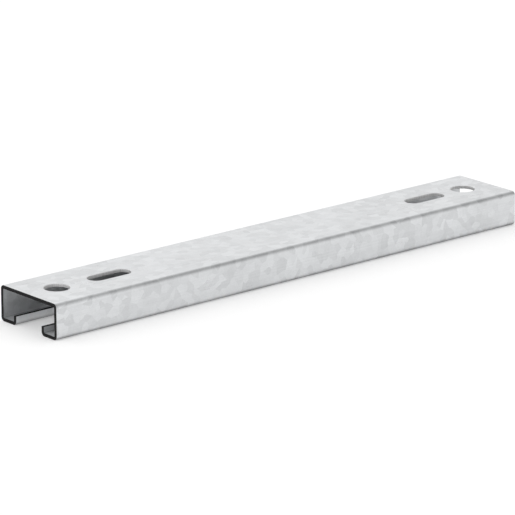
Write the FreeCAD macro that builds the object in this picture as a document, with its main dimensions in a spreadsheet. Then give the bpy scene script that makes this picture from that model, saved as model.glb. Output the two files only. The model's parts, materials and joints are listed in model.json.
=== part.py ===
import FreeCAD, Part
import math
import os
import Sketcher

# A short ceiling channel: one steel strip, roll-formed into a lipped C section, cut to length
# and punched in its web.  It lies on its lips with the open mouth down, as it hangs in use.
#
# The web lies against the ceiling, a flange goes down from each side of it, a lip turns in from
# the foot of each flange, and a return stands up from the inner edge of each lip.  The mouth is
# the gap between the two returns.
#
# X runs along the channel, Y across it and Z up.  Front is -Y, rear +Y, left -X and right +X.
# The origin is under the middle of the channel, level with the underside of the lips.
# All sizes are in millimetres.

sizes = {
    "channel_length": 350.0,     # cut end to cut end
    "channel_width": 50.0,       # over the two flanges
    "channel_height": 21.0,      # underside of the lips to the top of the web
    "thickness": 2.0,            # of the strip, everywhere
    "bend_radius": 0.5,          # inside radius of all six bends
    "mouth": 23.0,               # clear gap between the returns
    "return_height": 5.5,        # underside of the lips to the top of the returns
    "hole_diameter": 15.0,       # round hole near each end
    "hole_inset": 20.0,          # cut end to the round hole's centre
    "slot_width": 11.0,          # long hole, inboard of each round one
    "slot_length": 29.0,         # over its round ends
    "left_slot_inset": 57.0,     # left cut end to the left slot's centre
    "right_slot_inset": 51.5,    # right cut end to the right slot's centre
}

doc = FreeCAD.newDocument("ceiling_channel")
sheet = doc.addObject("Spreadsheet::Sheet", "Sizes")
for row, (name, value) in enumerate(sizes.items(), start=1):
    sheet.set("A%d" % row, name)
    sheet.set("B%d" % row, str(value))
    sheet.setAlias("B%d" % row, name)
doc.recompute()

body = doc.addObject("PartDesign::Body", "Channel")
body.Label = "channel"

# How a constraint names the points of a line or an arc, and the sketch's own origin and axes.
START, END, CENTRE = range(1, 4)
ORIGIN = (-1, START)
LEVEL_AXIS, UPRIGHT_AXIS = ORIGIN[0], ORIGIN[0] - 1


def origin_plane(role):
    """The body's own origin plane with this role."""
    return next(plane for plane in body.Origin.OriginFeatures if plane.Role == role)


def new_sketch(name, role):
    """An empty sketch that lies on one of the body's origin planes."""
    sketch = body.newObject("Sketcher::SketchObject", name)
    sketch.AttachmentSupport = (origin_plane(role), [""])
    sketch.MapMode = "FlatFace"
    return sketch


def constrain(sketch, kind, *parts):
    """Add a geometric constraint to a sketch."""
    sketch.addConstraint(Sketcher.Constraint(kind, *parts))


def dimension(sketch, name, kind, *parts, size):
    """Add a driving dimension to a sketch that is drawn to size, and tie it to the size sheet."""
    drawn = float(sketch.evalExpression(size))
    index = sketch.addConstraint(Sketcher.Constraint(kind, *parts, drawn))
    sketch.renameConstraint(index, name)
    sketch.setExpression("Constraints." + name, size)


# The section, drawn with sharp corners.  Its lines run round the outside from the rear return
# to the front one, and back along the inside.  Each line starts at the corner of its number.

section_lines = (
    "rear return", "rear lip", "rear flange", "web",
    "front flange", "front lip", "front return", "front edge",
    "front return inside", "front lip inside", "front flange inside", "web inside",
    "rear flange inside", "rear lip inside", "rear return inside", "rear edge",
)


def both_sides(points):
    """These (y, z) points and then their mirror images, in order round the section."""
    return points + [(-y, z) for y, z in reversed(points)]


def corner(name):
    """The corner where this line of the section starts, as a constraint names it."""
    return section_lines.index(name), START


half_width = sheet.channel_width / 2
half_mouth = sheet.mouth / 2
rear_outside = [(half_mouth, sheet.return_height), (half_mouth, 0),
                (half_width, 0), (half_width, sheet.channel_height)]
front_inside = [(-half_mouth - sheet.thickness, sheet.return_height),
                (-half_mouth - sheet.thickness, sheet.thickness),
                (-half_width + sheet.thickness, sheet.thickness),
                (-half_width + sheet.thickness, sheet.channel_height - sheet.thickness)]
corners = both_sides(rear_outside) + both_sides(front_inside)

section = new_sketch("Section", "YZ_Plane")
for start, end in zip(corners, corners[1:] + corners[:1]):
    section.addGeometry(Part.LineSegment(FreeCAD.Vector(*start), FreeCAD.Vector(*end)))
for line, name in enumerate(section_lines):
    constrain(section, "Coincident", line, END, (line + 1) % len(section_lines), START)
    if "flange" in name or "return" in name:
        constrain(section, "Vertical", line)
    elif "web" not in name:
        constrain(section, "Horizontal", line)

# The web's two lines are level because their ends mirror each other.
for name, image in (("web", "front flange"), ("web inside", "rear flange inside"),
                    ("rear lip", "front return"), ("front lip inside", "rear return inside")):
    constrain(section, "Symmetric", *corner(name), *corner(image), UPRIGHT_AXIS)
constrain(section, "Horizontal", *corner("rear return"), *corner("front edge"))
constrain(section, "PointOnObject", *corner("rear lip"), LEVEL_AXIS)

web_corner, web_inside_corner = corner("web"), corner("rear flange inside")
lip_corner, lip_inside_corner = corner("rear lip"), corner("rear return inside")
dimension(section, "width", "DistanceX", *corner("front flange"), *web_corner,
          size="Sizes.channel_width")
dimension(section, "height", "DistanceY", *corner("rear flange"), *web_corner,
          size="Sizes.channel_height")
dimension(section, "mouth", "DistanceX", *corner("front return"), *lip_corner,
          size="Sizes.mouth")
dimension(section, "rise", "DistanceY", *lip_corner, *corner("rear return"),
          size="Sizes.return_height")
dimension(section, "web_wall", "DistanceY", *web_inside_corner, *web_corner, size="Sizes.thickness")
dimension(section, "flange_wall", "DistanceX", *web_inside_corner, *web_corner, size="Sizes.thickness")
dimension(section, "lip_wall", "DistanceY", *lip_corner, *lip_inside_corner, size="Sizes.thickness")
dimension(section, "return_wall", "DistanceX", *lip_corner, *lip_inside_corner, size="Sizes.thickness")

strip = body.newObject("PartDesign::Pad", "Strip")
strip.Profile = section
strip.SideType = "Symmetric"
strip.setExpression("Length", "Sizes.channel_length")
doc.recompute()


# The six bends.  The outside radius is the inside one and the thickness together, so that the
# strip keeps its thickness round each bend.

tolerance = 1e-6


def long_edges(shape, places):
    """Names of the edges that run the channel's whole length through these (y, z) places."""
    names = []
    for number, edge in enumerate(shape.Edges, start=1):
        ends = [vertex.Point for vertex in edge.Vertexes]
        if abs(ends[0].x - ends[-1].x) < sheet.channel_length / 2:
            continue
        if any(abs(ends[0].y - y) + abs(ends[0].z - z) < tolerance for y, z in places):
            names.append("Edge%d" % number)
    return names


outer_bends = body.newObject("PartDesign::Fillet", "OuterBends")
outer_bends.Base = (strip, long_edges(strip.Shape, both_sides(rear_outside[1:])))
outer_bends.setExpression("Radius", "Sizes.bend_radius + Sizes.thickness")
doc.recompute()

inner_bends = body.newObject("PartDesign::Fillet", "InnerBends")
inner_bends.Base = (outer_bends, long_edges(outer_bends.Shape, both_sides(front_inside[1:])))
inner_bends.setExpression("Radius", "Sizes.bend_radius")
doc.recompute()


# The punched holes, drawn on the top of the web.

def web_sketch(name):
    """An empty sketch on the top of the web."""
    sketch = new_sketch(name, "XY_Plane")
    sketch.setExpression("AttachmentOffset.Base.z", "Sizes.channel_height")
    return sketch


def punch(name, outline):
    """Cut an outline down through the web."""
    cut = body.newObject("PartDesign::Pocket", name)
    cut.Profile = outline
    cut.setExpression("Length", "Sizes.thickness")
    doc.recompute()
    return cut


hole_outline = web_sketch("RoundHoleOutline")
hole_outline.addGeometry(Part.Circle(
    FreeCAD.Vector(sheet.channel_length / 2 - sheet.hole_inset, 0, 0),
    FreeCAD.Vector(0, 0, 1), sheet.hole_diameter / 2))
constrain(hole_outline, "PointOnObject", 0, CENTRE, LEVEL_AXIS)
dimension(hole_outline, "bore", "Diameter", 0, size="Sizes.hole_diameter")
dimension(hole_outline, "place", "DistanceX", *ORIGIN, 0, CENTRE,
          size="Sizes.channel_length / 2 - Sizes.hole_inset")
right_hole = punch("RightRoundHole", hole_outline)

left_hole = body.newObject("PartDesign::Mirrored", "LeftRoundHole")
left_hole.Originals = [right_hole]
left_hole.MirrorPlane = (origin_plane("YZ_Plane"), [""])
body.Tip = left_hole
doc.recompute()


def slot_outline(name, side, inset):
    """A slot along X at the right end, where side is 1, or at the left, where it is -1."""
    radius = sheet.slot_width / 2
    reach = (sheet.slot_length - sheet.slot_width) / 2
    middle = side * (sheet.channel_length / 2 - getattr(sheet, inset))
    half_turn = (FreeCAD.Vector(0, -radius, 0), FreeCAD.Vector(radius, 0, 0),
                 FreeCAD.Vector(0, radius, 0))
    right_centre = FreeCAD.Vector(middle + reach, 0, 0)
    left_centre = FreeCAD.Vector(middle - reach, 0, 0)
    right_arc = [right_centre + step for step in half_turn]
    left_arc = [left_centre - step for step in half_turn]

    sketch = web_sketch(name)
    outline = (Part.Arc(*right_arc), Part.LineSegment(right_arc[-1], left_arc[0]),
               Part.Arc(*left_arc), Part.LineSegment(left_arc[-1], right_arc[0]))
    for shape in outline:
        sketch.addGeometry(shape)
    for line in range(len(outline)):
        constrain(sketch, "Tangent", line, END, (line + 1) % len(outline), START)
    right_end, left_end = (0, CENTRE), (2, CENTRE)
    constrain(sketch, "Equal", right_end[0], left_end[0])
    constrain(sketch, "PointOnObject", *right_end, LEVEL_AXIS)
    constrain(sketch, "PointOnObject", *left_end, LEVEL_AXIS)

    dimension(sketch, "end_radius", "Radius", right_end[0], size="Sizes.slot_width / 2")
    dimension(sketch, "reach", "DistanceX", *left_end, *right_end,
              size="Sizes.slot_length - Sizes.slot_width")
    outward = (*ORIGIN, *right_end) if side > 0 else (*left_end, *ORIGIN)
    dimension(sketch, "place", "DistanceX", *outward,
              size="Sizes.channel_length / 2 - Sizes.%s"
                   " + (Sizes.slot_length - Sizes.slot_width) / 2" % inset)
    return sketch


left_slot_outline = slot_outline("LeftSlotOutline", -1, "left_slot_inset")
left_slot = punch("LeftSlot", left_slot_outline)
right_slot_outline = slot_outline("RightSlotOutline", 1, "right_slot_inset")
right_slot = punch("RightSlot", right_slot_outline)


# What must hold before anything is written.

for item in doc.Objects:
    if "Invalid" in item.State or "Error" in item.State:
        raise RuntimeError("%s did not rebuild: %s" % (item.Label, item.State))
for sketch in (section, hole_outline, left_slot_outline, right_slot_outline):
    if not sketch.FullyConstrained:
        raise RuntimeError("%s is not fully constrained" % sketch.Label)

hole_area = math.pi * (sheet.hole_diameter / 2) ** 2
slot_area = (math.pi * (sheet.slot_width / 2) ** 2
             + (sheet.slot_length - sheet.slot_width) * sheet.slot_width)
punched_out = 2 * (hole_area + slot_area) * sheet.thickness
taken_out = inner_bends.Shape.Volume - body.Shape.Volume
if abs(taken_out - punched_out) > punched_out / 1000:
    raise RuntimeError("the holes took %.1f mm3 out of the web, not %.1f" % (taken_out, punched_out))
if body.Shape.isNull() or not body.Shape.isValid() or len(body.Shape.Solids) != 1:
    raise RuntimeError("%s is not one valid solid" % body.Label)

os.makedirs("parts", exist_ok=True)
body.Shape.exportStep("parts/%s.step" % body.Label)
box = body.Shape.BoundBox
print("%s: %.2f x %.2f x %.2f mm, %.0f mm3, bottom at z = %.3f"
      % (body.Label, box.XLength, box.YLength, box.ZLength, body.Shape.Volume, box.ZMin))
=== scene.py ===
import json
import math

import bmesh
import bpy
import numpy as np
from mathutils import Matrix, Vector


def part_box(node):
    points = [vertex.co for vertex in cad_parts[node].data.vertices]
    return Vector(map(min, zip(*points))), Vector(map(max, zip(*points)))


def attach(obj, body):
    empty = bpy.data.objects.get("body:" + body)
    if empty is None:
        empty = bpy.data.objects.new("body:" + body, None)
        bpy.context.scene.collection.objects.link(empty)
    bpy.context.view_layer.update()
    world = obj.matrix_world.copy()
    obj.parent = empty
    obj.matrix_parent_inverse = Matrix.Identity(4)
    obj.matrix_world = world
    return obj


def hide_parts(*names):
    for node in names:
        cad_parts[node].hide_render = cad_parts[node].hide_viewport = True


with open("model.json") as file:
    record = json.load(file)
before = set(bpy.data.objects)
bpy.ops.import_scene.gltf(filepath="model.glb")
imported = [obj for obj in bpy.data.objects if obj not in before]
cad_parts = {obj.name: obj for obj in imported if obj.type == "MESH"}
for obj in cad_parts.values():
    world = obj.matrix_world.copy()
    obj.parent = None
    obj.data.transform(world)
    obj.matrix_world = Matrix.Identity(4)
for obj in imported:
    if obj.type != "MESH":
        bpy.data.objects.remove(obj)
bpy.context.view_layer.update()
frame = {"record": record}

# A ceiling channel of zinc coated strip, lying mouth down on a white floor.
# Metres throughout: X along the channel, Y across it, Z up.
mm = 0.001
mounts = {mount["name"]: mount for mount in frame["record"]["mounts"]}


# Shader arithmetic: a Signal is one output socket, and an expression on signals adds Math nodes.
class Signal:
    def __init__(self, graph, socket):
        self.graph, self.socket = graph, socket

    def maths(self, operation, *others):   # this signal goes in first, the others after it
        return self.graph.node("Math", {"operation": operation}, dict(enumerate((self, *others))))

    def __add__(self, other):
        return self.maths("ADD", other)

    def __sub__(self, other):
        return self.maths("SUBTRACT", other)

    def __rsub__(self, other):
        return self * -1.0 + other

    def __mul__(self, other):
        return self.maths("MULTIPLY", other)

    def __abs__(self):
        return self.maths("ABSOLUTE")

    __radd__, __rmul__ = __add__, __mul__

    def larger(self, other):
        return self.maths("MAXIMUM", other)

    def ramp(self, low, high):             # 0 at low, 1 at high, smooth between; low may be the larger
        return self.graph.node("MapRange", {"interpolation_type": "SMOOTHSTEP"},
                               {"Value": self, "From Min": low, "From Max": high})

    def outputs(self, *names):             # other outputs of the node that this signal comes from
        return [Signal(self.graph, self.socket.node.outputs[name]) for name in names]


class Graph:
    def __init__(self, owner):
        owner.use_nodes = True
        self.tree = owner.node_tree
        self.tree.nodes.clear()

    # Sockets go by name, or by number where a node has several of one name.
    def node(self, kind, settings=None, inputs=None, output=0):
        made = self.tree.nodes.new("ShaderNode" + kind)
        for name, value in (settings or {}).items():
            setattr(made, name, value)
        for name, value in (inputs or {}).items():
            if isinstance(value, Signal):
                self.tree.links.new(value.socket, made.inputs[name])
            else:
                made.inputs[name].default_value = value
        return Signal(self, made.outputs[output]) if made.outputs else None

    def attribute(self, name, output):     # the output is "Vector", or "Fac" for a number
        return self.node("Attribute", {"attribute_name": name}, output=output)

    def vector(self, x, y, z):
        return self.node("CombineXYZ", None, {"X": x, "Y": y, "Z": z})

    def parts(self, vector):               # its x, y and z
        return self.node("SeparateXYZ", None, {"Vector": vector}).outputs("X", "Y", "Z")

    def vectors(self, operation, *values):
        return self.node("VectorMath", {"operation": operation}, dict(enumerate(values)))

    def turned(self, vector, axis, angle):
        return self.node("VectorRotate", {"rotation_type": axis + "_AXIS"},
                         {"Vector": vector, "Angle": angle})

    def noise(self, place, detail=2.0):    # lumps about one unit of place across, around 0
        return self.node("TexNoise", None, {"Vector": place, "Scale": 1.0, "Detail": detail}) - 0.5

    def colour(self, red, green, blue):
        return self.node("CombineColor", None, {"Red": red, "Green": green, "Blue": blue})

    def mixColour(self, amount, first, second):
        return self.node("Mix", {"data_type": "RGBA"}, {0: amount, 6: first, 7: second}, output=2)

    def finish(self, kind, surface):
        self.node(kind, None, {"Surface": surface})


def blend(amount, first, second):          # the first at 0, the second at 1
    return first + amount * (second - first)


def grey(value):
    return (value, value, value, 1.0)


def addObject(name, data):
    made = bpy.data.objects.new(name, data)
    bpy.context.scene.collection.objects.link(made)
    return made


# The channel's own sizes. Length, width, height and holes are read from the frame.
channel = {
    "sheet": 2.0 * mm,
    "bendRadius": 0.5 * mm,        # inside each bend
    "mouth": 23.0 * mm,
    "returnHeight": 5.5 * mm,
    "edgeRound": 0.2 * mm,         # on every sawn and punched edge
    "roundSteps": 4,               # facets in each rounded edge
    "bendSteps": 10,               # facets in each bend
    "fine": 1.0 * mm,              # grid pitch round the holes
    "coarse": 6.0 * mm,            # grid pitch elsewhere
    "holeMargin": 4.0 * mm,        # web round each hole that is gridded in rings
    "ringSteps": 8,
    "ringCrowding": 0.8,           # under 1 puts more rings near the hole
    "weld": 0.002 * mm,            # points that are nearer than this are one
    "flatMap": "OFBake",           # a UV map of this name holds the strip laid flat
    "flatGap": 1.5 * mm,           # between the rows of that map
    "flatRim": 4.5 * mm,           # height of each cut edge on it
    "flatSlit": 0.05,              # the share of their length that the slit edges keep on it
}


# The strip's middle line, by distance s from the edge of the rear return. It is seven straight
# stretches with a quarter bend between each two, always turning left:
#   run_k(s)  = clip(s - start_k, 0, length_k)                 on straight k, which heads h_k
#   turn_k(s) = clip((s - start_k - length_k) / r, 0, pi/2)    on the bend after straight k
#   y = y0 + sum run_k cos h_k + r sum (sin(h_k + turn_k) - sin h_k)
#   z = z0 + sum run_k sin h_k - r sum (cos(h_k + turn_k) - cos h_k)
class StripPath:
    def __init__(self, width, height):
        sheet, outer = channel["sheet"], channel["bendRadius"] + channel["sheet"]
        upturn = channel["returnHeight"] - outer
        lip = (width - channel["mouth"]) / 2 - 2 * outer
        side = height - 2 * outer
        web = width - 2 * outer
        self.radius = outer - sheet / 2
        self.arc = self.radius * math.pi / 2
        self.lengths = np.array([upturn, lip, side, web, side, lip, upturn])
        self.web = len(self.lengths) // 2  # the web's place among them
        self.headings = (np.arange(len(self.lengths)) - 1) * math.pi / 2
        self.starts = np.concatenate(([0], np.cumsum(self.lengths + self.arc)[:-1]))
        self.ends = self.starts + self.lengths
        self.bends = (self.ends[:-1] + self.starts[1:]) / 2        # the middle of each
        self.total = self.ends[-1]
        self.origin = (channel["mouth"] / 2 + sheet / 2, channel["returnHeight"])

    def point(self, s, depth):             # depth is 0 on the outside of the strip
        s = np.asarray(s)[..., None]
        run = np.clip(s - self.starts, 0, self.lengths)
        turn = np.clip((s - self.ends) / self.radius, 0, math.pi / 2)[..., :-1]
        before, after = self.headings[:-1], self.headings[:-1] + turn
        y = self.origin[0] + (run * np.cos(self.headings)).sum(-1)
        z = self.origin[1] + (run * np.sin(self.headings)).sum(-1)
        y += self.radius * (np.sin(after) - np.sin(before)).sum(-1)
        z -= self.radius * (np.cos(after) - np.cos(before)).sum(-1)
        heading = self.headings[0] + turn.sum(-1)
        outward = channel["sheet"] / 2 - depth
        return y + outward * np.sin(heading), z - outward * np.cos(heading), heading


def stops(marks, pitches):                 # the marks, joined by even steps of about each pitch
    counts = [max(1, round((b - a) / p)) for a, b, p in zip(marks, marks[1:], pitches)]
    parts = [np.linspace(a, b, n + 1)[:-1] for a, b, n in zip(marks, marks[1:], counts)]
    return np.concatenate(parts + [marks[-1:]])


# The strip as patches, which share the points along their borders. A patch is a grid of
# (s, x, depth) with, at each point, how far it is into a cut edge (0 on the flat, 1 on the wall),
# whether the edge there is punched (1) or sawn (0), and the way it faces along s and x.
# The flat map holds the strip unrolled: its outside as (x, s), its inside above that, and above
# both a row for each cut edge, as (once round it, across it). A cut edge gives its own place there.
class Strip:
    def __init__(self, path, length, holes):
        self.path, self.length, self.holes = path, length, holes
        self.points, self.quads, self.count = [], [], 0
        self.flat, self.flatHeight = [], 2 * path.total + channel["flatGap"]

    def patch(self, s, x, depth, cut=0.0, punched=0.0, facing=(0.0, 0.0), closed=False, flat=None):
        grids = np.broadcast_arrays(s, x, depth, cut, punched, *facing)
        index = self.count + np.arange(grids[0].size).reshape(grids[0].shape)
        above = (grids[2] > 0) * (self.path.total + channel["flatGap"])
        corners = [index, grids[1], grids[0] + above]
        if closed:
            corners = [np.concatenate((grid, grid[:, :1]), axis=1) for grid in corners]
        if flat:
            corners[1:] = flat
        quads, flatX, flatY = [cellCorners(grid) for grid in corners]
        self.points.append(np.stack([grid.ravel() for grid in grids], axis=1))
        self.quads.append(quads)
        self.flat.append(np.stack((flatX, flatY), axis=-1))
        self.count += index.size

    # The next row of the flat map, for a cut edge that runs round through (s, x). Nothing changes
    # along the slit edges of the strip, so most of their row is left to the sawn ends.
    def flatRow(self, s, x, across, punched):
        low = self.flatHeight + channel["flatGap"]
        self.flatHeight = low + channel["flatRim"]
        s, x = (np.append(values, values[:, 0]) for values in (s, x))
        steps = np.hypot(np.diff(s), np.diff(x) * (1.0 if punched else channel["flatSlit"]))
        along = np.concatenate(([0], np.cumsum(steps))) / steps.sum()
        return np.meshgrid((along - 0.5) * self.length, low + across * channel["flatRim"])

    # A cut edge with its two corners rounded. With a from 0 to pi/2 and e the rounding:
    #   out = e sin a,  depth = e (1 - cos a)   at the near face, and the same mirrored at the far one
    #   way = e a  round the near corner, and  sheet - 2 e + e (pi/2 + a)  round the far one
    def cutEdge(self, s, x, alongS, alongX, punched):
        e, sheet = channel["edgeRound"], channel["sheet"]
        a = np.linspace(0, math.pi / 2, channel["roundSteps"] + 1)[:, None]
        out = e * np.concatenate((np.sin(a), np.sin(a[::-1])))
        near = e * (1 - np.cos(a))
        depth = np.concatenate((near, sheet - near[::-1]))
        way = np.concatenate((e * a, sheet - 2 * e + e * (math.pi / 2 + a)))
        flat = self.flatRow(s, x, way / way[-1], punched)
        self.patch(s + out * alongS, x + out * alongX, depth, out / e, punched,
                   (alongS, alongX), closed=True, flat=flat)

    # The web round one hole, in rings between a block's outline and the hole's rim:
    #   p(w) = (1 - w) outline + w rim,  rim = core + (radius + e) (outline - core) / |outline - core|
    # where core is the nearest point of the hole's middle line and e the edge's rounding.
    def holeRings(self, s, x, hole):
        rimRadius = hole["radius"] + channel["edgeRound"]
        coreS = self.path.total / 2
        coreX = np.clip(x, hole["x"] - hole["reach"], hole["x"] + hole["reach"])
        away = np.hypot(s - coreS, x - coreX)
        towardS, towardX = (coreS - s) / away, (coreX - x) / away
        rimS, rimX = coreS - rimRadius * towardS, coreX - rimRadius * towardX
        w = (np.linspace(0, 1, channel["ringSteps"] + 1) ** channel["ringCrowding"])[:, None]
        for depth in (0.0, channel["sheet"]):
            self.patch(s + w * (rimS - s), x + w * (rimX - x), depth, punched=1.0, closed=True)
        self.cutEdge(rimS, rimX, towardS, towardX, punched=1.0)

    def gridAcross(self):                  # values of s, and where the web starts and ends in them
        path, e = self.path, channel["edgeRound"]
        marks = np.stack((path.starts, path.ends), axis=1).ravel()
        marks[0] += e
        marks[-1] -= e
        pitches = []
        for place in range(len(path.lengths)):
            straight = channel["fine"] if place == path.web else channel["coarse"]
            pitches += [straight, path.arc / channel["bendSteps"]]
        s = stops(marks, pitches)
        ends = (path.starts[path.web], path.ends[path.web])
        return s, [int(np.abs(s - end).argmin()) for end in ends]

    def gridAlong(self):                   # values of x, and where each hole's block starts and ends
        half = self.length / 2 - channel["edgeRound"]
        blocks = [(hole["x"] - hole["half"], hole["x"] + hole["half"]) for hole in self.holes]
        marks = np.array([-half] + [end for block in blocks for end in block] + [half])
        pitches = [channel["coarse"], channel["fine"]] * len(blocks) + [channel["coarse"]]
        x = stops(marks, pitches)
        return x, [[int(np.abs(x - end).argmin()) for end in block] for block in blocks]

    def build(self):
        s, (webStart, webEnd) = self.gridAcross()
        x, blocks = self.gridAlong()
        last = len(x) - 1
        whole = [(0, last)]
        betweenHoles = list(zip([0] + [block[1] for block in blocks],
                                [block[0] for block in blocks] + [last]))
        for rows, spans in (((0, webStart), whole), ((webStart, webEnd), betweenHoles),
                            ((webEnd, len(s) - 1), whole)):
            for left, right in spans:
                for depth in (0.0, channel["sheet"]):
                    self.patch(s[rows[0]:rows[1] + 1, None], x[None, left:right + 1], depth)
        for hole, (left, right) in zip(self.holes, blocks):
            self.holeRings(*outline(s[webStart:webEnd + 1], x[left:right + 1]), hole)

        rimS, rimX = outline(s, x)
        facingS = 1.0 * (rimS == s[-1]) - 1.0 * (rimS == s[0])
        facingX = 1.0 * (rimX == x[-1]) - 1.0 * (rimX == x[0])
        self.cutEdge(rimS, rimX, facingS, facingX, punched=0.0)

    # Points in space, quads, their corners on the flat map, which is scaled to the unit square, and
    # what the material and the shading read. The normal leans from the face's own by the share of
    # the turn that the rounded edge has made:
    #   n = sqrt(1 - cut^2) face + cut edge
    def surface(self):
        s, x, depth, cut, punched, edgeS, edgeX = np.concatenate(self.points).T
        y, z, heading = self.path.point(s, depth)
        face = np.where(depth < channel["sheet"] / 2, 1.0, -1.0) * np.sqrt(1 - cut ** 2)
        normals = np.stack((cut * edgeX,
                            face * np.sin(heading) + cut * edgeS * np.cos(heading),
                            -face * np.cos(heading) + cut * edgeS * np.sin(heading)), axis=1)
        attributes = {"strip": np.stack((x, s, depth), axis=1), "cut": cut, "punched": punched,
                      "smooth": normals}
        gap = channel["flatGap"]
        corner = (self.length / 2 + gap / 2, gap / 2)
        flat = (np.concatenate(self.flat) + corner) / (self.length + gap, self.flatHeight + gap)
        return np.stack((x, y, z), axis=1), np.concatenate(self.quads), flat, attributes


def cellCorners(grid):                     # the four corners of each cell of a grid
    corners = (grid[:-1, :-1], grid[:-1, 1:], grid[1:, 1:], grid[1:, :-1])
    return np.stack(corners, axis=-1).reshape(-1, 4)


def outline(rows, columns):                # once round the border of a grid, as (s, x)
    up, down = np.full(len(columns), rows[0]), np.full(len(columns), rows[-1])
    left, right = np.full(len(rows), columns[0]), np.full(len(rows), columns[-1])
    s = np.concatenate((up[:-1], rows[:-1], down[:0:-1], rows[:0:-1]))
    x = np.concatenate((columns[:-1], right[:-1], columns[:0:-1], left[:0:-1]))
    return s[None], x[None]


def readHoles():                           # the web's holes from the record's mounts, along +X
    holes = []
    for mount in (mounts["anchor_holes"], mounts["anchor_slots"]):
        dims = mount["dims"]
        radius = dims["hole_r_mm"] * mm
        reach = dims.get("slot_length_mm", 2 * dims["hole_r_mm"]) * mm / 2 - radius
        for side in (-1, 1):
            x = mount["pos_m"][0] + side * dims["spacing_x_mm"] * mm / 2
            half = radius + reach + channel["holeMargin"]
            holes.append({"x": x, "radius": radius, "reach": reach, "half": half})
    return sorted(holes, key=lambda hole: hole["x"])


def meshFrom(name, points, quads, flat, attributes):
    mesh = bpy.data.meshes.new(name)
    mesh.from_pydata(points.tolist(), [], quads.tolist())
    flatMap = mesh.uv_layers.new(name=channel["flatMap"])
    flatMap.uv.foreach_set("vector", flat.astype(np.float32).ravel())
    for key, values in attributes.items():
        kind, field = ("FLOAT_VECTOR", "vector") if values.ndim == 2 else ("FLOAT", "value")
        layer = mesh.attributes.new(key, kind, "POINT")
        layer.data.foreach_set(field, values.astype(np.float32).ravel())
    welded = bmesh.new()
    welded.from_mesh(mesh)
    bmesh.ops.remove_doubles(welded, verts=welded.verts, dist=channel["weld"])
    bmesh.ops.recalc_face_normals(welded, faces=welded.faces)
    openEdges = sum(not edge.is_manifold for edge in welded.edges)
    volume = welded.calc_volume() / mm ** 3
    welded.to_mesh(mesh)
    welded.free()
    mesh.shade_smooth()
    print(f"{name}: {len(mesh.polygons)} faces, {openEdges} open edges, {volume:.0f} mm3")
    return mesh


def useNormals(mesh, key):                 # shade by the normals kept in an attribute, then drop it
    normals = np.zeros(len(mesh.vertices) * 3, np.float32)
    mesh.attributes[key].data.foreach_get("vector", normals)
    normals = normals.reshape(-1, 3)
    normals /= np.linalg.norm(normals, axis=1, keepdims=True)
    mesh.attributes.remove(mesh.attributes[key])
    mesh.normals_split_custom_set_from_vertices(normals.tolist())


def makeChannel():
    low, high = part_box("channel")
    size = high - low
    path = StripPath(size.y, size.z)
    strip = Strip(path, size.x, readHoles())
    strip.build()
    mesh = meshFrom("rolled_channel", *strip.surface())
    useNormals(mesh, "smooth")
    mesh.materials.append(zincMaterial(path))
    return addObject("rolled_channel", mesh)


# Zinc coated strip. The coat is crystals, each with its own tone, gloss and grain. The rolls
# left faint lines along the strip, dulled it where they bent it, and burnished only its outside.
# Down the middle of each bend the tone is also darkened, which is painted shade along the edge.
# It is cut bare along its edges and across its ends, and the punch wiped some zinc down the walls
# of the holes.
zinc = {
    "tone": 0.66,
    "tint": (0.985, 1.0, 1.015),
    "roughness": 0.36,
    "crystal": 4.5 * mm,
    "crystalWander": 1.6 * mm,     # how far the crystals' borders stray
    "crystalTone": 0.10,           # from the palest crystal to the darkest
    "crystalRough": 0.14,
    "crystalLean": 0.05,           # of its normal
    "barbLine": 0.35 * mm,         # feathering inside each crystal
    "barbRun": 4.0 * mm,
    "barbTone": 0.16,
    "barbShift": 40.0,             # gives each crystal its own barbs
    "sideShift": 7.0,              # and each side of the strip its own lines
    "cloud": 55.0 * mm,
    "cloudTone": 0.08,
    "cloudRough": 0.10,
    "rollLine": 0.9 * mm,          # across the strip
    "rollRun": 220.0 * mm,         # along it
    "rollDetail": 3.0,
    "rollTone": 0.10,
    "rollRough": 0.12,
    "scuffLine": 0.5 * mm,
    "scuffRun": 28.0 * mm,
    "scuffRange": (0.16, 0.30),    # of the noise, so that scuffs are few
    "scuffTone": 0.07,
    "bendReach": 1.3 * mm,         # each side of a bend's middle
    # painted shade: how much darker the middle of each bend is
    "bendPaintedShade": 0.30,
    "bendRough": 0.12,
    "insideRough": 0.20,
    "sawnTone": 0.026,
    "punchedTone": 0.62,
    "wipedTone": 0.74,
    "wipedRange": (0.96 * mm, 0.48 * mm),     # below the side that the punch came from
    "bareRoughness": 0.75,
    "grain": 0.22 * mm,            # saw lines and punch scores
    "grainRun": 6.0 * mm,
    "sawSlant": 28,                # degrees
    "sawLineTone": 2.0,
    "scoreTone": 0.7,
    "sawnEdge": (0.02, 0.30),      # where the zinc ends on a rounded edge: a sawn one is bare
    "punchedEdge": (0.45, 0.95),   # all round, a punched one is drawn in with its zinc on
}


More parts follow.
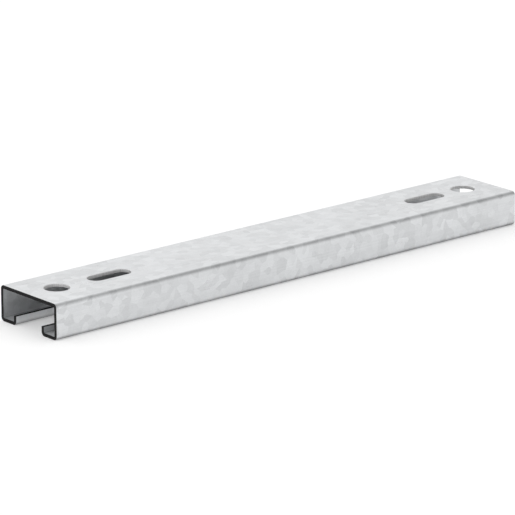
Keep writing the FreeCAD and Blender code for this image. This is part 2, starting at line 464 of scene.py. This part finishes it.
# The crystals, with barbs raked back from a spine through the middle of each. The three parts of
# a crystal's own random colour give its shade, its dulling and the turn of its spine, and together
# its lean. The inside has the crystals of a place one metre further along, so not the outside's.
def crystals(graph, strip, inside):
    x, s = graph.parts(strip)[:2]
    strayed = graph.node("TexNoise", None, {"Vector": strip, "Scale": 1 / zinc["crystal"]},
                         output="Color")
    flat = graph.vector(x + inside, s, 0.0)
    flat = graph.vectors("MULTIPLY_ADD", strayed, (zinc["crystalWander"],) * 3, flat)
    cells = graph.node("TexVoronoi", {"voronoi_dimensions": "2D"},
                       {"Vector": flat, "Scale": 1 / zinc["crystal"]})
    colours, middles = cells.outputs("Color", "Position")
    shade, dulling, turn = graph.parts(colours)
    local = graph.vectors("SUBTRACT", flat, middles)
    along, aside = graph.parts(graph.turned(local, "Z", turn * (2 * math.pi)))[:2]
    rake = abs(aside)
    barbs = graph.noise(graph.vector((along + rake) * (1 / zinc["barbLine"]),
                                     (along - rake) * (1 / zinc["barbRun"]),
                                     shade * zinc["barbShift"]))
    lean = graph.vectors("SUBTRACT", colours, (0.5, 0.5, 0.5))
    return shade, dulling, lean, barbs


# 1 in the middle of a bend, down to 0 by the straights beside it. It dulls the zinc there, and
# darkens it with painted shade along the edge. Both sides of the web's middle are alike, so the
# bends after it stand for those before it.
def bendMask(path, s):
    middle = path.total / 2
    fold = abs(s - middle)
    reaches = (path.bends[path.web:] - middle).tolist()
    return sum(abs(fold - reach).ramp(zinc["bendReach"], 0.0) for reach in reaches)


# The tone of bare steel. Saw lines slant across the cut ends. On the walls of the holes punch
# scores run through the sheet, and the upper part has zinc wiped over it.
def bareTone(graph, strip, depth, punched):
    place = graph.node("TexCoord", output="Object")
    fine, long = 1 / zinc["grain"], 1 / zinc["grainRun"]
    slant = graph.turned(place, "X", math.radians(zinc["sawSlant"]))
    sawLines = graph.noise(graph.vectors("MULTIPLY", slant, (0.0, long, fine)))
    scores = graph.noise(graph.vectors("MULTIPLY", strip, (fine, fine, long)))
    wiped = depth.ramp(*zinc["wipedRange"])
    sawn = zinc["sawnTone"] * (1 + zinc["sawLineTone"] * sawLines)
    wall = blend(wiped, zinc["punchedTone"], zinc["wipedTone"]) * (1 + zinc["scoreTone"] * scores)
    return blend(punched, sawn, wall)


def zincMaterial(path):
    material = bpy.data.materials.new("zincCoatedStrip")
    graph = Graph(material)
    strip = graph.attribute("strip", "Vector")
    cut, punched = graph.attribute("cut", "Fac"), graph.attribute("punched", "Fac")
    x, s, depth = graph.parts(strip)
    inside = depth.ramp(0.0, channel["sheet"])
    otherSide = inside * zinc["sideShift"]

    def stretched(run, line, detail=2.0):  # streaks along the strip, this long and this fine
        return graph.noise(graph.vector(x * (1 / run), s * (1 / line), otherSide), detail)

    shade, dulling, lean, barbs = crystals(graph, strip, inside)
    cloud = stretched(zinc["cloud"], zinc["cloud"])
    roll = stretched(zinc["rollRun"], zinc["rollLine"], zinc["rollDetail"])
    scuff = stretched(zinc["scuffRun"], zinc["scuffLine"]).ramp(*zinc["scuffRange"])
    bend = bendMask(path, s)

    # The bends' term darkens each bend with painted shade; the other terms are the zinc's own tone.
    tone = (zinc["tone"] + zinc["crystalTone"] * (shade - 0.5) + zinc["barbTone"] * barbs
            + zinc["cloudTone"] * cloud + zinc["rollTone"] * roll + zinc["scuffTone"] * scuff
            - zinc["bendPaintedShade"] * bend)
    roughness = (zinc["roughness"] + zinc["crystalRough"] * (dulling - 0.5)
                 + zinc["cloudRough"] * cloud + zinc["rollRough"] * roll
                 + zinc["bendRough"] * bend + zinc["insideRough"] * inside)
    coated = graph.colour(*(tone * share for share in zinc["tint"]))
    steel = bareTone(graph, strip, depth, punched)
    bare = graph.colour(steel, steel, steel)

    uncoated = blend(punched, cut.ramp(*zinc["sawnEdge"]), cut.ramp(*zinc["punchedEdge"]))
    normal = graph.vectors("MULTIPLY_ADD", lean, (zinc["crystalLean"],) * 3,
                           graph.node("NewGeometry", output="Normal"))
    shader = graph.node("BsdfPrincipled", None,
                        {"Base Color": graph.mixColour(uncoated, coated, bare), "Metallic": 1.0,
                         "Roughness": blend(uncoated, roughness, zinc["bareRoughness"]),
                         "Normal": graph.vectors("NORMALIZE", normal)})
    graph.finish("OutputMaterial", shader)
    return material


print("channel")
rolledChannel = makeChannel()
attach(rolledChannel, "root")
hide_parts("channel")


# Floor and light. What the camera and the metal see of them is white, and what lights the
# floor is less, so that the floor keeps the channel's shadow.
stage = {
    "floorHalf": 4.0,
    "floorTone": 0.80,
    "floorGlow": 0.22,
    "worldLight": 0.85,
    "lamps": {
        "key": {"from": (-0.5, 0.8, 0.9), "strength": 0.75},
        "fill": {"from": (0.9, -0.5, 0.8), "strength": 0.10},
    },
    "lampSpread": 110,             # degrees across, for soft shadows
}


def raysThatSee(graph):                    # 1 on camera, glossy and transmission rays, 0 on others
    rays = graph.node("LightPath")
    camera, glossy, through = rays.outputs("Is Camera Ray", "Is Glossy Ray", "Is Transmission Ray")
    return camera.larger(glossy.larger(through))


def makeFloor():
    half = stage["floorHalf"]
    mesh = bpy.data.meshes.new("floor")
    mesh.from_pydata([(-half, -half, 0), (half, -half, 0), (half, half, 0), (-half, half, 0)], [],
                     [(0, 1, 2, 3)])
    material = bpy.data.materials.new("whiteFloor")
    graph = Graph(material)
    diffuse = graph.node("BsdfDiffuse", None, {"Color": grey(stage["floorTone"])})
    glow = graph.node("Emission", None,
                      {"Color": grey(stage["floorGlow"]), "Strength": raysThatSee(graph)})
    above = graph.node("AddShader", None, {0: diffuse, 1: glow})
    below = graph.node("BsdfTransparent")  # so that the channel shows from below
    fromBelow = graph.node("NewGeometry", output="Backfacing")
    graph.finish("OutputMaterial",
                 graph.node("MixShader", None, {"Fac": fromBelow, 1: above, 2: below}))
    mesh.materials.append(material)
    addObject("floor", mesh)


def makeWorld():
    world = bpy.data.worlds.new("studio")
    bpy.context.scene.world = world
    graph = Graph(world)
    strength = blend(raysThatSee(graph), stage["worldLight"], 1.0)
    graph.finish("OutputWorld",
                 graph.node("Background", None, {"Color": grey(1.0), "Strength": strength}))


def makeLamp(name, lamp):
    sun = bpy.data.lights.new(name, "SUN")
    sun.energy, sun.angle = lamp["strength"], math.radians(stage["lampSpread"])
    holder = addObject(name, sun)
    holder.location = lamp["from"]
    holder.rotation_euler = holder.location.to_track_quat("Z", "Y").to_euler()


# The drawing's camera, worked out from its edges and corners. It looks from its place to the
# aim, with no roll and no shift.
view = {
    "azimuth": -40.747,
    "elevation": 16.669,
    "distance": 2.2463,
    "aim": (0.0, 0.0097, 0.0058),
    "focalInFrames": 7.4984,       # focal length over the frame's side
    "clip": (0.01, 50.0),
}


def makeCamera():
    azimuth, elevation = math.radians(view["azimuth"]), math.radians(view["elevation"])
    back = np.array([math.sin(azimuth) * math.cos(elevation),
                     -math.cos(azimuth) * math.cos(elevation), math.sin(elevation)])
    lens = bpy.data.cameras.new("camera")
    lens.lens = lens.sensor_width * view["focalInFrames"]
    lens.clip_start, lens.clip_end = view["clip"]
    camera = addObject("camera", lens)
    camera.location = np.array(view["aim"]) + view["distance"] * back
    camera.rotation_euler = (math.pi / 2 - elevation, 0, azimuth)
    bpy.context.scene.camera = camera


print("stage")
makeFloor()
makeWorld()
for name, lamp in stage["lamps"].items():
    makeLamp(name, lamp)
makeCamera()
bpy.context.scene.view_settings.view_transform = "Standard"
